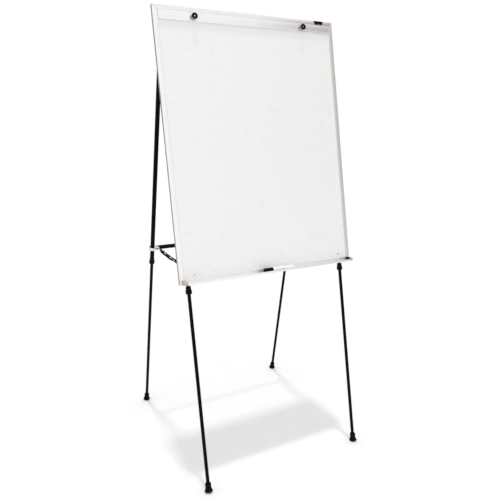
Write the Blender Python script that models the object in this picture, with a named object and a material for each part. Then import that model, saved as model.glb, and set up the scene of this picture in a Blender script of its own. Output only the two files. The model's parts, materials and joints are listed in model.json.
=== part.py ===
"""Flipchart easel with a framed dry-erase board, four telescoping legs and two folding braces.

World frame: metres, +Z up, the board faces -Y, the origin is on the floor below the middle.
Board frame: the same axes, tilted back with the board. x is across, y is depth behind the
board's face, z is height along the board from its lower edge.
Rear frame: the same axes, tilted with the rear legs. Its origin is on the hinge axis.
"""

import math

import bmesh
import bpy
from mathutils import Matrix, Vector

# Whole easel
BOARD_LEAN = math.radians(11.3)
REAR_LEAN = math.radians(12.65)
REAR_SPLAY = math.radians(0.98)
BOARD_BASE_HEIGHT = 0.7068
BOARD_BASE_Y = -0.21826
GAP = 0.0003
HOLE_CLEARANCE = 0.0004
CUT_BEYOND = 0.01

# Board and frame
BOARD_WIDTH = 0.686
BOARD_HEIGHT = 0.889
FRAME_DEPTH = 0.012
RAIL_FACE = 0.0165
RAIL_BACK = 0.013
RAIL_WALL = 0.0013
RAIL_ROUND = 0.0011
PANEL_INSET = 0.002
SURFACE_BACK = 0.0021
CORE_BACK = 0.0099
BACKING_BACK = 0.0104

# Pad retainer
RETAINER_HALF_LENGTH = 0.3252
RETAINER_BOTTOM = 0.8440
RETAINER_TOP = 0.8720
RETAINER_BACK = 0.0013
RETAINER_FRONT = 0.0045
RETAINER_WALL = 0.0014
BOLT_X = 0.207
BOLT_HEIGHT = 0.858
BOLT_RADIUS = 0.003
BOLT_TIP = 0.0150
BOLT_HEAD_RADIUS = 0.007
BOLT_HEAD = 0.0032
KNOB_STANDOFF = 0.0055
KNOB_RADIUS = 0.0102
KNOB_DEPTH = 0.0065
KNOB_HUB_RADIUS = 0.0062
KNOB_HUB_LENGTH = 0.0020
KNOB_DISH = 0.0012

# Catch on the top rail
CATCH_LEFT = 0.2635
CATCH_RIGHT = 0.3005
CATCH_BOTTOM = 0.8790
CATCH_TOP = 0.8870
CATCH_THICKNESS = 0.0029

# Marker tray and marker
TRAY_HALF_LENGTH = 0.3254
TRAY_DEPTH = 0.034
TRAY_FLOOR_TOP = 0.003
TRAY_LIP_TOP = 0.0072
TRAY_BACK_TOP = 0.0135
TRAY_END_THICKNESS = 0.0103
TRAY_END_TOP = 0.0145
MARKER_LENGTH = 0.119
MARKER_CAP_LENGTH = 0.034
MARKER_CAP_RADIUS = 0.0076
MARKER_RADIUS = 0.0071
MARKER_START_X = -0.0425
MARKER_Y = -0.0215

# Leg tubes
UPPER_RADIUS = 0.008
LOWER_RADIUS = 0.006
TUBE_WALL = 0.001
TUBE_SEGMENTS = 20
FRONT_TUBE_X = 0.3085
FRONT_TUBE_Y = 0.0205
FRONT_TUBE_TOP = 0.868
FRONT_TUBE_END = -0.028
REAR_TUBE_END = 0.8687
LOWER_OVERLAP = 0.085
HEAD_RADIUS = 0.0067
HEAD_LENGTH = 0.012
COLLAR_RADIUS = 0.0107
COLLAR_HALF_LENGTH = 0.00675
COLLAR_SLEEVE_RADIUS = 0.0090
COLLAR_SLEEVE_LENGTH = 0.009
FOOT_RADIUS = 0.014
FOOT_HEIGHT = 0.030
FOOT_BORE_END = 0.012
SOLE_RADIUS = 0.040

# Hinge at the top
HINGE_X = 0.3012
HINGE_Y = 0.0475
HINGE_HEIGHT = 0.8507
PIN_RADIUS = 0.0025
HEAD_BLOCK_INNER_X = 0.2887
HEAD_BLOCK_OUTER_X = 0.3195
EAR_INNER_FACE = 0.2922
EAR_OUTER_FACE = 0.3098
EAR_OUTER_EDGE = 0.3133
HINGE_SCREW_X = 0.294
HINGE_SCREW_HEIGHT = 0.857
HINGE_SCREW_LENGTH = 0.021
SCREW_RADIUS = 0.0016
SCREW_HEAD_RADIUS = 0.0028
SCREW_HEAD = 0.0020

# Front bracket, crossbar, rear clip and braces
STRIP = 0.0015
BRACKET_SCREW_X = 0.291
BRACKET_SCREW_HEIGHT = 0.030
BRACKET_SCREW_LENGTH = 0.013
BRACKET_BOTTOM = 0.0185
BRACKET_TOP = 0.0405
FRONT_EAR_X = 0.28525
FRONT_PIVOT_Y = 0.025
FRONT_PIVOT_HEIGHT = 0.0295
FRONT_LINK_X = 0.2873
FRONT_LINK_THICKNESS = 0.002
REAR_LINK_X = 0.28935
REAR_EAR_X = 0.29115
REAR_PIVOT_Y = -0.013
REAR_PIVOT_DROP = 0.8117
LINK_DIFFERENCE = 0.0093
LINK_HALF_HEIGHT = 0.0065
LINK_END_RADIUS = 0.007
RIVET_RADIUS = 0.0022
RIVET_HOLE = 0.0025
RIVET_HEAD_RADIUS = 0.004
RIVET_HEAD = 0.0014
CROSSBAR_DROP = 0.8142
CROSSBAR_HALF_HEIGHT = 0.007
CROSSBAR_FRONT = 0.0086
CROSSBAR_DEPTH = 0.008
CROSSBAR_WALL = 0.0012
CROSSBAR_OVERHANG = 0.0095
CLIP_DROP = 0.8107
CLIP_HALF_HEIGHT = 0.0055
CLIP_RIVET_X = 0.2985
CLIP_RIVET_DROP = 0.8120
CLIP_RIVET_RADIUS = 0.0018
CLIP_RIVET_HEAD_RADIUS = 0.0029

WHITE_STEEL = ("white_steel", (0.86, 0.86, 0.85), 0.25, 0.0)
CORE_BOARD = ("core_board", (0.55, 0.42, 0.28), 0.8, 0.0)
BACKING = ("backing", (0.62, 0.63, 0.63), 0.55, 0.3)
ALUMINIUM = ("aluminium", (0.70, 0.69, 0.68), 0.35, 1.0)
BLACK_PAINT = ("black_paint", (0.015, 0.015, 0.016), 0.35, 0.0)
BLACK_PLASTIC = ("black_plastic", (0.02, 0.02, 0.021), 0.45, 0.0)
GREY_PLASTIC = ("grey_plastic", (0.34, 0.27, 0.21), 0.5, 0.0)
RUBBER = ("rubber", (0.012, 0.012, 0.012), 0.7, 0.0)
ZINC_STEEL = ("zinc_steel", (0.78, 0.78, 0.76), 0.22, 1.0)
WHITE_PLASTIC = ("white_plastic", (0.82, 0.82, 0.80), 0.4, 0.0)
FELT = ("felt", (0.03, 0.03, 0.035), 0.9, 0.0)


def clear_scene():
    for obj in list(bpy.data.objects):
        bpy.data.objects.remove(obj, do_unlink=True)


def make_material(name, look):
    label, colour, roughness, metallic = look
    material = bpy.data.materials.new(f"{name}_{label}")
    material.use_nodes = True
    shader = material.node_tree.nodes["Principled BSDF"]
    shader.inputs["Base Color"].default_value = (*colour, 1.0)
    shader.inputs["Roughness"].default_value = roughness
    shader.inputs["Metallic"].default_value = metallic
    return material


def make_empty(name, parent=None, location=(0, 0, 0), rotation=(0, 0, 0)):
    empty = bpy.data.objects.new(name, None)
    empty.location = location
    empty.rotation_euler = rotation
    empty.parent = parent
    bpy.context.scene.collection.objects.link(empty)
    return empty


def make_object(name, bm, look, parent, location=(0, 0, 0), rotation=(0, 0, 0), smooth=False):
    """Turn a bmesh into a named object with its own material."""
    bmesh.ops.recalc_face_normals(bm, faces=bm.faces)
    mesh = bpy.data.meshes.new(name)
    bm.to_mesh(mesh)
    bm.free()
    if smooth:
        mesh.shade_smooth()
        mesh.set_sharp_from_angle(angle=math.radians(38))
    obj = bpy.data.objects.new(name, mesh)
    obj.location = location
    obj.rotation_euler = rotation
    obj.parent = parent
    obj.data.materials.append(make_material(name, look))
    bpy.context.scene.collection.objects.link(obj)
    return obj


def make_cutter(name, bm, parent):
    """A hidden helper shape for Boolean modifiers."""
    bmesh.ops.recalc_face_normals(bm, faces=bm.faces)
    mesh = bpy.data.meshes.new(name)
    bm.to_mesh(mesh)
    bm.free()
    cutter = bpy.data.objects.new(name, mesh)
    cutter.parent = parent
    cutter.hide_render = True
    cutter.display_type = "WIRE"
    bpy.context.scene.collection.objects.link(cutter)
    return cutter


def add_boolean(obj, helper, operation):
    modifier = obj.modifiers.new(operation.lower(), "BOOLEAN")
    modifier.operation = operation
    modifier.solver = "EXACT"
    modifier.object = helper


def prism(bm, outline, axis, start, end):
    """Extrude a closed 2D outline along one axis. The outline's two values fill the other axes."""
    low = [bm.verts.new(place(point, axis, start)) for point in outline]
    high = [bm.verts.new(place(point, axis, end)) for point in outline]
    bm.faces.new(low)
    bm.faces.new(high)
    for index in range(len(outline)):
        following = (index + 1) % len(outline)
        bm.faces.new((low[index], low[following], high[following], high[index]))


def place(point, axis, value):
    first, second = point
    if axis == "X":
        return (value, first, second)
    if axis == "Y":
        return (first, value, second)
    return (first, second, value)


def box(bm, low, high):
    outline = [(low[0], low[1]), (high[0], low[1]), (high[0], high[1]), (low[0], high[1])]
    prism(bm, outline, "Z", low[2], high[2])


def turned(bm, profile, segments, matrix=None):
    """Turn (radius, height) points about Z. A profile that starts and ends at radius 0 is solid,
    any other one closes on itself as a ring."""
    rings = []
    for radius, height in profile:
        if radius == 0:
            rings.append([bm.verts.new((0, 0, height))])
            continue
        ring = []
        for step in range(segments):
            angle = 2 * math.pi * step / segments
            ring.append(bm.verts.new((radius * math.cos(angle), radius * math.sin(angle), height)))
        rings.append(ring)
    pairs = list(zip(rings, rings[1:]))
    if profile[0][0] > 0:
        pairs.append((rings[-1], rings[0]))
    for ring, other in pairs:
        join_rings(bm, ring, other, segments)
    if matrix is not None:
        bmesh.ops.transform(bm, matrix=matrix, verts=[v for ring in rings for v in ring])


def join_rings(bm, ring, other, segments):
    for step in range(segments):
        following = (step + 1) % segments
        if len(ring) == 1:
            bm.faces.new((ring[0], other[step], other[following]))
        elif len(other) == 1:
            bm.faces.new((ring[step], ring[following], other[0]))
        else:
            bm.faces.new((ring[step], ring[following], other[following], other[step]))


def along_x(x, y, z, side=1):
    """Matrix that lays a turned shape's axis along X, its top towards +X for side 1."""
    return Matrix.Translation((x, y, z)) @ Matrix.Rotation(side * math.pi / 2, 4, "Y")


def along_y(x, y, z):
    """Matrix that lays a turned shape's axis along Y, its top towards the front."""
    return Matrix.Translation((x, y, z)) @ Matrix.Rotation(math.pi / 2, 4, "X")


def cylinder(bm, radius, low, high, matrix, segments=12):
    turned(bm, [(0, low), (radius, low), (radius, high), (0, high)], segments, matrix)


def tube_profile(radius, wall, low, high):
    return [(radius, high), (radius, low), (radius - wall, low), (radius - wall, high)]


def rounded_end(centre, radius, start, end, steps):
    """Points on an arc about centre, from angle start to angle end in radians."""
    points = []
    for step in range(steps + 1):
        angle = start + (end - start) * step / steps
        points.append((centre[0] + radius * math.cos(angle), centre[1] + radius * math.sin(angle)))
    return points


def bent_strip(path, thickness):
    """Outline of a strip of even thickness that follows a path, with mitred bends."""
    near = []
    far = []
    for index, point in enumerate(path):
        here = Vector(point)
        before = (here - Vector(path[index - 1])).normalized() if index > 0 else None
        after = (Vector(path[index + 1]) - here).normalized() if index < len(path) - 1 else None
        before = before or after
        after = after or before
        middle = (before + after).normalized()
        normal = Vector((-middle.y, middle.x))
        offset = normal * (thickness / 2) / max(middle.dot(after), 0.3)
        near.append(tuple(here + offset))
        far.append(tuple(here - offset))
    return near + far[::-1]


def side_name(side):
    return "left" if side < 0 else "right"


# ---------------------------------------------------------------- board

def rail_outline():
    """Channel section of a frame rail: distance in from the board's edge, depth from its face."""
    corner = rounded_end((RAIL_ROUND, RAIL_ROUND), RAIL_ROUND, math.pi, 1.5 * math.pi, 3)
    return corner + [
        (RAIL_FACE, 0),
        (RAIL_FACE, RAIL_WALL),
        (RAIL_WALL, RAIL_WALL),
        (RAIL_WALL, FRAME_DEPTH - RAIL_WALL),
        (RAIL_BACK, FRAME_DEPTH - RAIL_WALL),
        (RAIL_BACK, FRAME_DEPTH),
        (0, FRAME_DEPTH),
    ]


def loft(bm, start, end):
    """Join two outlines of the same number of points into one closed shape."""
    low = [bm.verts.new(point) for point in start]
    high = [bm.verts.new(point) for point in end]
    bm.faces.new(low)
    bm.faces.new(high)
    for index in range(len(start)):
        following = (index + 1) % len(start)
        bm.faces.new((low[index], low[following], high[following], high[index]))


def build_side_rail(board, side):
    half = BOARD_WIDTH / 2
    outline = rail_outline()
    bm = bmesh.new()
    bottom = [(side * (half - inset), depth, 0) for inset, depth in outline]
    top = [(side * (half - inset), depth, BOARD_HEIGHT - inset - GAP) for inset, depth in outline]
    loft(bm, bottom, top)
    make_object(f"side_rail_{side_name(side)}", bm, ALUMINIUM, board)


def build_top_rail(board):
    half = BOARD_WIDTH / 2
    outline = rail_outline()
    bm = bmesh.new()
    left = [(inset - half + GAP, depth, BOARD_HEIGHT - inset) for inset, depth in outline]
    right = [(half - inset - GAP, depth, BOARD_HEIGHT - inset) for inset, depth in outline]
    loft(bm, left, right)
    make_object("top_rail", bm, ALUMINIUM, board)


def build_panel_holes(board):
    """One helper that drills every fastener's hole through the three sheets."""
    bm = bmesh.new()
    places = [
        (BOLT_X, BOLT_HEIGHT, BOLT_RADIUS + HOLE_CLEARANCE),
        (HINGE_SCREW_X, HINGE_SCREW_HEIGHT, SCREW_RADIUS + HOLE_CLEARANCE),
        (BRACKET_SCREW_X, BRACKET_SCREW_HEIGHT, SCREW_RADIUS + HOLE_CLEARANCE),
    ]
    for side in (-1, 1):
        for x, height, radius in places:
            cylinder(bm, radius, -FRAME_DEPTH, FRAME_DEPTH, along_y(side * x, 0, height))
    return make_cutter("panel_hole_cutter", bm, board)


def build_panel(board):
    half = BOARD_WIDTH / 2 - PANEL_INSET
    top = BOARD_HEIGHT - PANEL_INSET
    holes = build_panel_holes(board)
    sheets = [
        ("writing_surface", RAIL_WALL + GAP, SURFACE_BACK, WHITE_STEEL),
        ("panel_core", SURFACE_BACK + GAP, CORE_BACK - GAP, CORE_BOARD),
        ("panel_backing", CORE_BACK, BACKING_BACK, BACKING),
    ]
    for name, front, back, look in sheets:
        bm = bmesh.new()
        box(bm, (-half, front, PANEL_INSET), (half, back, top))
        sheet = make_object(name, bm, look, board)
        add_boolean(sheet, holes, "DIFFERENCE")


def build_rail_catch(board):
    """Small moulded plate on the top rail near its right end, with a slanted left end and two
    lobes along its lower edge."""
    slant = 0.0035
    lobe = 0.00675
    squash = 0.6
    outline = [(CATCH_LEFT, CATCH_TOP), (CATCH_LEFT + slant, CATCH_BOTTOM)]
    for centre in (CATCH_LEFT + 0.0125, CATCH_RIGHT - 0.0085):
        arc = rounded_end((centre, CATCH_BOTTOM), lobe, math.pi, 2 * math.pi, 8)
        outline += [(x, CATCH_BOTTOM + (z - CATCH_BOTTOM) * squash) for x, z in arc]
    outline += [(CATCH_RIGHT, CATCH_BOTTOM), (CATCH_RIGHT, CATCH_TOP)]
    bm = bmesh.new()
    prism(bm, outline, "Y", -GAP - CATCH_THICKNESS, -GAP)
    make_object("rail_catch", bm, BLACK_PLASTIC, board)


# ---------------------------------------------------------------- pad retainer

def build_retainer_bar(board):
    """Shallow trough, open to the back and closed at both ends, with a hole for each bolt."""
    front = -RETAINER_FRONT
    back = RETAINER_BACK
    chamfer = 0.001
    wall = RETAINER_WALL
    outline = [
        (back, RETAINER_BOTTOM),
        (front + chamfer, RETAINER_BOTTOM),
        (front, RETAINER_BOTTOM + chamfer),
        (front, RETAINER_TOP - chamfer),
        (front + chamfer, RETAINER_TOP),
        (back, RETAINER_TOP),
    ]
    bm = bmesh.new()
    prism(bm, outline, "X", -RETAINER_HALF_LENGTH, RETAINER_HALF_LENGTH)
    bar = make_object("retainer_bar", bm, ALUMINIUM, board)
    bm = bmesh.new()
    reach = RETAINER_HALF_LENGTH - wall
    low = (-reach, front + wall, RETAINER_BOTTOM + wall)
    box(bm, low, (reach, back + CUT_BEYOND, RETAINER_TOP - wall))
    add_boolean(bar, make_cutter("retainer_trough_cutter", bm, board), "DIFFERENCE")
    bm = bmesh.new()
    for side in (-1, 1):
        place_at = along_y(side * BOLT_X, 0, BOLT_HEIGHT)
        cylinder(bm, BOLT_RADIUS + HOLE_CLEARANCE, 0, 2 * RETAINER_FRONT, place_at)
    add_boolean(bar, make_cutter("retainer_hole_cutter", bm, board), "DIFFERENCE")


def build_retainer_bolt(board, side):
    """Carriage bolt: head behind the board, shank out through the retainer bar."""
    head_front = -BACKING_BACK - GAP
    tip_chamfer = 0.0006
    profile = [
        (0, head_front - BOLT_HEAD),
        (BOLT_HEAD_RADIUS * 0.6, head_front - BOLT_HEAD * 0.88),
        (BOLT_HEAD_RADIUS, head_front - BOLT_HEAD * 0.3),
        (BOLT_HEAD_RADIUS, head_front),
        (BOLT_RADIUS, head_front),
        (BOLT_RADIUS, BOLT_TIP - tip_chamfer),
        (BOLT_RADIUS - tip_chamfer, BOLT_TIP),
        (0, BOLT_TIP),
    ]
    bm = bmesh.new()
    turned(bm, profile, 16)
    name = f"retainer_bolt_{side_name(side)}"
    where = (side * BOLT_X, 0, BOLT_HEIGHT)
    make_object(name, bm, ZINC_STEEL, board, where, (math.pi / 2, 0, 0), smooth=True)


def build_retainer_knob(board, side):
    """Thin round knob with a dished face and a short hub behind. The bolt ends inside it. The bar
    can slide forward as far as the hub. The knob's axis is local Z."""
    base = RETAINER_FRONT + KNOB_STANDOFF
    front = base + KNOB_DEPTH
    disc_back = base + KNOB_HUB_LENGTH
    edge = 0.0010
    bore = BOLT_RADIUS + HOLE_CLEARANCE
    profile = [
        (bore, front - KNOB_DISH),
        (KNOB_RADIUS * 0.52, front - KNOB_DISH * 0.8),
        (KNOB_RADIUS * 0.70, front),
        (KNOB_RADIUS - edge, front),
        (KNOB_RADIUS, front - edge),
        (KNOB_RADIUS, disc_back + edge),
        (KNOB_RADIUS - edge, disc_back),
        (KNOB_HUB_RADIUS, disc_back),
        (KNOB_HUB_RADIUS, base),
        (bore, base),
    ]
    bm = bmesh.new()
    turned(bm, profile, 24)
    name = f"retainer_knob_{side_name(side)}"
    where = (side * BOLT_X, 0, BOLT_HEIGHT)
    make_object(name, bm, BLACK_PLASTIC, board, where, (math.pi / 2, 0, 0), smooth=True)


# ---------------------------------------------------------------- tray and marker

def build_marker_tray(board):
    """Extrusion that holds the panel's lower edge and carries the tray in front of it."""
    front = -TRAY_DEPTH
    lip = 0.0014
    outline = [
        (FRAME_DEPTH, 0),
        (FRAME_DEPTH, RAIL_BACK),
        (FRAME_DEPTH - RAIL_WALL, RAIL_BACK),
        (FRAME_DEPTH - RAIL_WALL, RAIL_WALL),
        (RAIL_WALL, RAIL_WALL),
        (RAIL_WALL, TRAY_BACK_TOP),
        (0, TRAY_BACK_TOP),
        (0, TRAY_FLOOR_TOP),
        (front + lip, TRAY_FLOOR_TOP),
        (front + lip, TRAY_LIP_TOP),
        (front + 0.0003, TRAY_LIP_TOP + 0.0004),
        (front, TRAY_LIP_TOP),
        (front, 0.001),
        (front + 0.001, 0),
        (front + 0.006, 0),
        (front + 0.008, TRAY_FLOOR_TOP - RAIL_WALL),
        (0, TRAY_FLOOR_TOP - RAIL_WALL),
        (0, 0),
    ]
    bm = bmesh.new()
    prism(bm, outline, "X", -TRAY_HALF_LENGTH, TRAY_HALF_LENGTH)
    make_object("marker_tray", bm, ALUMINIUM, board)


def build_tray_end(board, side):
    """Moulded end piece in front of the side rail: a quarter round that is highest at the board."""
    front_height = 0.0035
    level = 0.010
    chamfer = 0.0012
    steps = 7
    curve = [(-GAP, TRAY_END_TOP)]
    for step in range(steps + 1):
        angle = math.pi / 2 * step / steps
        rise = (TRAY_END_TOP - front_height) * math.cos(angle)
        curve.append((-level - (TRAY_DEPTH - level) * math.sin(angle), front_height + rise))
    outline = curve + [(-TRAY_DEPTH, chamfer), (chamfer - TRAY_DEPTH, 0), (-GAP, 0)]
    bm = bmesh.new()
    inner = TRAY_HALF_LENGTH + GAP
    prism(bm, outline, "X", side * inner, side * (inner + TRAY_END_THICKNESS))
    corner = 0.004
    for vertex in bm.verts:
        outer = abs(vertex.co.x) > inner + corner
        if outer and vertex.co.y < -TRAY_DEPTH + corner:
            vertex.co.x -= side * (corner - TRAY_DEPTH - vertex.co.y)
    make_object(f"tray_end_{side_name(side)}", bm, GREY_PLASTIC, board)


def build_marker(board):
    """Marker lying in the tray, its capped end to the left. Lengths run along X."""
    height = TRAY_FLOOR_TOP + GAP + MARKER_CAP_RADIUS
    where = (MARKER_START_X, MARKER_Y, height)
    turn = (0, math.pi / 2, 0)
    edge = 0.0015
    bore = 0.0062
    bore_start = 0.004
    cap = [
        (0, 0),
        (MARKER_CAP_RADIUS - edge, 0),
        (MARKER_CAP_RADIUS, edge),
        (MARKER_CAP_RADIUS, MARKER_CAP_LENGTH),
        (bore, MARKER_CAP_LENGTH),
        (bore, bore_start),
        (0, bore_start),
    ]
    bm = bmesh.new()
    turned(bm, cap, 20)
    make_object("marker_cap", bm, BLACK_PLASTIC, board, where, turn, smooth=True)
    neck = 0.0058
    nose = 0.0032
    shoulder = MARKER_CAP_LENGTH + GAP
    neck_start = MARKER_CAP_LENGTH - 0.010
    nose_start = MARKER_CAP_LENGTH - 0.020
    socket = nose_start + 0.006
    tip_radius = 0.002
    barrel = [
        (0, socket),
        (tip_radius + GAP, socket),
        (tip_radius + GAP, nose_start),
        (nose, nose_start),
        (neck, neck_start),
        (neck, shoulder),
        (MARKER_RADIUS, shoulder),
        (MARKER_RADIUS, MARKER_LENGTH - edge),
        (MARKER_RADIUS - edge, MARKER_LENGTH),
        (0, MARKER_LENGTH),
    ]
    bm = bmesh.new()
    turned(bm, barrel, 20)
    make_object("marker_barrel", bm, WHITE_PLASTIC, board, where, turn, smooth=True)
    tip_start = nose_start - 0.008
    tip = [
        (0, tip_start),
        (tip_radius * 0.6, tip_start + 0.0005),
        (tip_radius, tip_start + 0.003),
        (tip_radius, socket - GAP),
        (0, socket - GAP),
    ]
    bm = bmesh.new()
    turned(bm, tip, 12)
    make_object("marker_tip", bm, FELT, board, where, turn, smooth=True)


# ---------------------------------------------------------------- legs

def build_upper_tube(name, parent, location, top, end):
    """Tube about local Z, from height top down to height end."""
    bm = bmesh.new()
    turned(bm, tube_profile(UPPER_RADIUS, TUBE_WALL, end, top), TUBE_SEGMENTS)
    return make_object(name, bm, BLACK_PAINT, parent, location, smooth=True)


def build_lower_tube(name, parent, location, tube_end, sole_centre):
    """Inner tube with a swaged head that guides it inside the upper tube."""
    head_top = tube_end + LOWER_OVERLAP
    head_low = head_top - HEAD_LENGTH
    taper = 0.001
    bottom = sole_centre - SOLE_RADIUS + FOOT_BORE_END + GAP
    inner = LOWER_RADIUS - TUBE_WALL
    profile = [
        (HEAD_RADIUS, head_top),
        (HEAD_RADIUS, head_low),
        (LOWER_RADIUS, head_low - taper),
        (LOWER_RADIUS, bottom),
        (inner, bottom),
        (inner, head_top),
    ]
    bm = bmesh.new()
    turned(bm, profile, TUBE_SEGMENTS)
    make_object(name, bm, BLACK_PAINT, parent, location, smooth=True)


def build_collar(name, parent, location, tube_end):
    """Twist ring with a sleeve above it on the upper tube's end, and a lip that guides the lower
    tube. Local 0 is the tube's end."""
    half = COLLAR_HALF_LENGTH
    radius = COLLAR_RADIUS
    sleeve = COLLAR_SLEEVE_RADIUS
    sleeve_top = half + COLLAR_SLEEVE_LENGTH
    profile = [
        (sleeve - GAP, sleeve_top),
        (sleeve, sleeve_top - 2 * GAP),
        (sleeve, half),
        (radius * 0.92, half),
        (radius, half * 0.75),
        (radius, -half * 0.70),
        (radius * 0.90, -half * 0.95),
        (radius * 0.78, -half),
        (LOWER_RADIUS + GAP, -half),
        (LOWER_RADIUS + GAP, -GAP),
        (UPPER_RADIUS + GAP, -GAP),
        (UPPER_RADIUS + GAP, sleeve_top),
    ]
    bm = bmesh.new()
    turned(bm, profile, TUBE_SEGMENTS)
    x, y, z = location
    make_object(name, bm, BLACK_PLASTIC, parent, (x, y, z + tube_end), smooth=True)


def build_foot(name, parent, location, sole_centre, lean):
    """Rubber foot: a ring, a neck that flares to the rim, and a shallow round sole. The sole is
    part of a ball about local 0, with a ring of corners where the tilted leg meets the floor."""
    sole = SOLE_RADIUS
    rim = FOOT_RADIUS
    profile = [(0, -sole)]
    for angle in (lean * 0.5, lean, math.asin(0.94 * rim / sole)):
        profile.append((sole * math.sin(angle), -sole * math.cos(angle)))
    # Share of the rim's radius and height above the sole's lowest point: rim, flare, neck, ring.
    rim_edge = [(1.0, 0.0033), (1.0, 0.0044)]
    flare = [(0.92, 0.0060), (0.78, 0.0100), (0.72, 0.0150), (0.70, 0.0205)]
    ring = [(0.74, 0.0220), (0.74, FOOT_HEIGHT - 0.0015), (0.62, FOOT_HEIGHT)]
    profile += [(rim * share, height - sole) for share, height in rim_edge + flare + ring]
    bore = LOWER_RADIUS + GAP
    bore_end = FOOT_BORE_END - sole
    profile += [(bore, FOOT_HEIGHT - sole), (bore, bore_end), (0, bore_end)]
    bm = bmesh.new()
    turned(bm, profile, TUBE_SEGMENTS)
    x, y, z = location
    make_object(name, bm, RUBBER, parent, (x, y, z + sole_centre), smooth=True)


def front_sole_centre():
    """Height in the board frame of the centre of the front sole's ball."""
    rise = SOLE_RADIUS - BOARD_BASE_HEIGHT + FRONT_TUBE_Y * math.sin(BOARD_LEAN)
    return rise / math.cos(BOARD_LEAN)


def rear_sole_drop(hinge_point):
    """Distance down the splayed rear leg to the centre of the sole's ball."""
    return (hinge_point.z - SOLE_RADIUS) / (math.cos(REAR_LEAN) * math.cos(REAR_SPLAY))


def build_front_leg(board, side):
    name = side_name(side)
    where = (side * FRONT_TUBE_X, FRONT_TUBE_Y, 0)
    centre = front_sole_centre()
    build_upper_tube(f"front_upper_tube_{name}", board, where, FRONT_TUBE_TOP, FRONT_TUBE_END)
    build_lower_tube(f"front_lower_tube_{name}", board, where, FRONT_TUBE_END, centre)
    build_collar(f"front_collar_{name}", board, where, FRONT_TUBE_END)
    build_foot(f"front_foot_{name}", board, where, centre, BOARD_LEAN)


def build_rear_leg(rear, hinge_point, side):
    """The splayed leg has its own empty, whose local Z runs up along the tube."""
    name = side_name(side)
    turn = (0, -side * REAR_SPLAY, 0)
    leg = make_empty(f"rear_leg_{name}_axis", rear, (side * HINGE_X, 0, 0), turn)
    where = (0, 0, 0)
    centre = -rear_sole_drop(hinge_point)
    lean = math.acos(math.cos(REAR_LEAN) * math.cos(REAR_SPLAY))
    above_pin = 0.006
    tube = build_upper_tube(f"rear_upper_tube_{name}", leg, where, above_pin, -REAR_TUBE_END)
    bm = bmesh.new()
    reach = UPPER_RADIUS + CUT_BEYOND
    cylinder(bm, PIN_RADIUS + GAP, -reach, reach, along_x(0, 0, 0))
    add_boolean(tube, make_cutter(f"rear_tube_hole_cutter_{name}", bm, leg), "DIFFERENCE")
    build_lower_tube(f"rear_lower_tube_{name}", leg, where, -REAR_TUBE_END, centre)
    build_collar(f"rear_collar_{name}", leg, where, -REAR_TUBE_END)
    build_foot(f"rear_foot_{name}", leg, where, centre, lean)


# ---------------------------------------------------------------- hinge at the top

def build_hinge_head(board, side):
    """Moulded head on the front tube's top end, with two ears behind for the rear tube."""
    name = side_name(side)
    front = BACKING_BACK + GAP
    back = 0.031
    bottom = 0.832
    top = 0.874
    ear_radius = 0.0085
    centre = (HINGE_Y, HINGE_HEIGHT)
    ear = rounded_end(centre, ear_radius, -math.pi / 2, math.pi / 2, 8)
    outline = [(front, bottom), (back, bottom), (back, HINGE_HEIGHT - ear_radius - 0.003)]
    outline += ear + [(back, top), (front, top)]
    bm = bmesh.new()
    prism(bm, outline, "X", side * HEAD_BLOCK_INNER_X, side * HEAD_BLOCK_OUTER_X)
    head = make_object(f"hinge_head_{name}", bm, BLACK_PLASTIC, board)
    low = bottom - CUT_BEYOND
    high = top + CUT_BEYOND
    bm = bmesh.new()
    bore = Matrix.Translation((side * FRONT_TUBE_X, FRONT_TUBE_Y, 0))
    cylinder(bm, UPPER_RADIUS + GAP, low, FRONT_TUBE_TOP + GAP, bore, TUBE_SEGMENTS)
    screw = along_y(side * HINGE_SCREW_X, 0, HINGE_SCREW_HEIGHT)
    screw_end = RAIL_WALL + HINGE_SCREW_LENGTH + 4 * GAP
    cylinder(bm, SCREW_RADIUS + GAP, -screw_end, 0, screw)
    add_boolean(head, make_cutter(f"head_bore_cutter_{name}", bm, board), "DIFFERENCE")
    ears_end = HINGE_Y + ear_radius + CUT_BEYOND
    bm = bmesh.new()
    slot_x = sorted((side * EAR_INNER_FACE, side * EAR_OUTER_FACE))
    box(bm, (slot_x[0], back + GAP, low), (slot_x[1], ears_end, high))
    add_boolean(head, make_cutter(f"head_slot_cutter_{name}", bm, board), "DIFFERENCE")
    bm = bmesh.new()
    trim_x = sorted((side * EAR_OUTER_EDGE, side * (HEAD_BLOCK_OUTER_X + CUT_BEYOND)))
    box(bm, (trim_x[0], back + GAP, low), (trim_x[1], ears_end, high))
    add_boolean(head, make_cutter(f"head_trim_cutter_{name}", bm, board), "DIFFERENCE")
    bm = bmesh.new()
    pin = along_x(side * HINGE_X, HINGE_Y, HINGE_HEIGHT)
    cylinder(bm, PIN_RADIUS + GAP, -2 * CUT_BEYOND, 2 * CUT_BEYOND, pin)
    add_boolean(head, make_cutter(f"head_pin_cutter_{name}", bm, board), "DIFFERENCE")


def build_hinge_pin(board, side):
    """Headed pin through both ears and the rear tube. Its axis is the hinge axis."""
    radius = 0.0045
    rim = 0.001
    dome = 0.0022
    inner = HEAD_BLOCK_INNER_X - GAP - HINGE_X
    outer = EAR_OUTER_EDGE + GAP - HINGE_X
    profile = [
        (0, inner - dome),
        (radius * 0.7, inner - dome),
        (radius, inner - rim),
        (radius, inner),
        (PIN_RADIUS, inner),
        (PIN_RADIUS, outer),
        (radius, outer),
        (radius, outer + rim),
        (radius * 0.7, outer + dome),
        (0, outer + dome),
    ]
    bm = bmesh.new()
    turned(bm, profile, 16)
    where = (side * HINGE_X, HINGE_Y, HINGE_HEIGHT)
    turn = (0, side * math.pi / 2, 0)
    make_object(f"hinge_pin_{side_name(side)}", bm, ZINC_STEEL, board, where, turn, smooth=True)


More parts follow.
